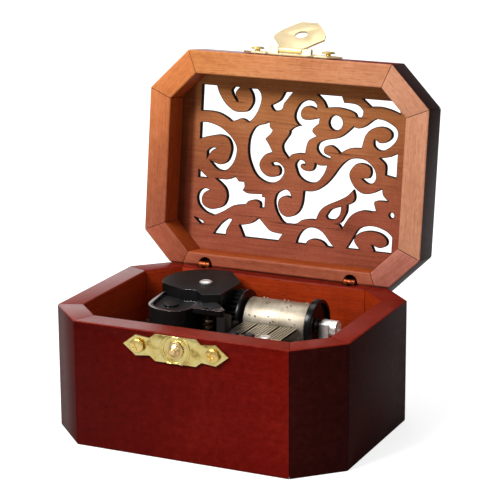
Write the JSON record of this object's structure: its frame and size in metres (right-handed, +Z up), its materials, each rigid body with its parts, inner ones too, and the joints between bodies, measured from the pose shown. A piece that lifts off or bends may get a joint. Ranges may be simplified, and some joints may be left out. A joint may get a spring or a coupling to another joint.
{
  "type": "music box",
  "caption": "Key-wound cylinder music box: eight-sided wooden case, hinged lid with a pierced scroll panel, brass hasp and stud, pinned cylinder movement with comb inside.",
  "frame": {"origin": "on the table, under the middle of the part's box at rest, with the lid open", "axes": "+X to the right along the front, +Y to the back, +Z up"},
  "size_m": [0.106, 0.1114, 0.1282],
  "materials": {
    "black_plastic": "moulded",
    "brass": "polished stamping",
    "cast_zinc": "cast",
    "gilt_steel": "yellow plated steel",
    "mahogany": "satin lacquer",
    "nickel": "nickel plated",
    "plywood": "raw",
    "spring_steel": "blued",
    "steel": "machined",
    "walnut": "satin lacquer"
  },
  "bodies": {
    "case": {"back_board": "mahogany", "bearing_bracket": "nickel", "bedplate": "cast_zinc", "comb": "steel", "comb_base": "cast_zinc", "comb_screw_1": "nickel", "comb_screw_2": "nickel", "comb_screw_3": "nickel", "floor_panel": "plywood", "front_board": "mahogany", "front_left_corner_board": "mahogany", "front_right_corner_board": "mahogany", "governor_post": "black_plastic", "housing_screw": "nickel", "left_board": "mahogany", "left_hinge_base_half": "brass", "left_hinge_pin": "steel", "mainspring": "spring_steel", "movement_screw_1": "steel", "movement_screw_2": "steel", "movement_screw_3": "steel", "rear_left_corner_board": "mahogany", "rear_right_corner_board": "mahogany", "right_board": "mahogany", "right_hinge_base_half": "brass", "right_hinge_pin": "steel", "spring_housing": "black_plastic", "strike_left_screw": "gilt_steel", "strike_plate": "brass", "strike_right_screw": "gilt_steel", "strike_stud": "brass"},
    "lid": {"filigree_panel": "walnut", "hasp_left_screw": "gilt_steel", "hasp_pin": "steel", "hasp_plate": "brass", "hasp_right_screw": "gilt_steel", "left_hinge_lid_half": "brass", "lid_back_board": "walnut", "lid_front_board": "walnut", "lid_front_left_corner_board": "walnut", "lid_front_right_corner_board": "walnut", "lid_left_board": "walnut", "lid_rear_left_corner_board": "walnut", "lid_rear_right_corner_board": "walnut", "lid_right_board": "walnut", "right_hinge_lid_half": "brass"},
    "hasp": {"hasp_leaf": "brass"},
    "cylinder": {"cylinder": "nickel", "cylinder_arbor": "steel", "cylinder_gear": "black_plastic", "end_disc": "black_plastic"},
    "governor": {"governor_wheel": "brass"},
    "fly": {"air_brake": "steel", "worm_spindle": "steel"},
    "drive": {"drive_wheel": "brass"},
    "winder": {"winding_arbor": "steel", "winding_key": "brass"}
  },
  "joints": [
    {"name": "lid_hinge", "type": "hinge", "parent": "case", "child": "lid", "pos_m": [0, 0.02415, 0.04385], "axis": [1, 0, 0], "range_deg": [0, 97.5]},
    {"name": "hasp_hinge", "type": "hinge", "parent": "lid", "child": "hasp", "pos_m": [-0.0009, 0.03878, 0.1209], "axis": [1, 0, 0], "range_deg": [0, 150]},
    {"name": "cylinder_spin", "type": "hinge", "parent": "case", "child": "cylinder", "pos_m": [0.0005, 0.00195, 0.034], "axis": [1, 0, 0], "continuous": true},
    {"name": "drive_spin", "type": "hinge", "parent": "case", "child": "drive", "pos_m": [-0.0171, 0.00195, 0.022], "axis": [0, 0, 1], "continuous": true},
    {"name": "governor_spin", "type": "hinge", "parent": "case", "child": "governor", "pos_m": [-0.0061, -0.01051, 0.034], "axis": [1, 0, 0], "continuous": true},
    {"name": "fly_spin", "type": "hinge", "parent": "case", "child": "fly", "pos_m": [-0.0061, -0.01845, 0.022], "axis": [0, 0, 1], "continuous": true},
    {"name": "key_turn", "type": "hinge", "parent": "case", "child": "winder", "pos_m": [-0.0171, 0.00195, 0.022], "axis": [0, 0, 1], "continuous": true}
  ],
  "couplings": [
    {"joint": "drive_spin", "follows": "cylinder_spin", "ratio": 0.625},
    {"joint": "governor_spin", "follows": "cylinder_spin", "ratio": -2.5},
    {"joint": "fly_spin", "follows": "cylinder_spin", "ratio": -25}
  ]
}
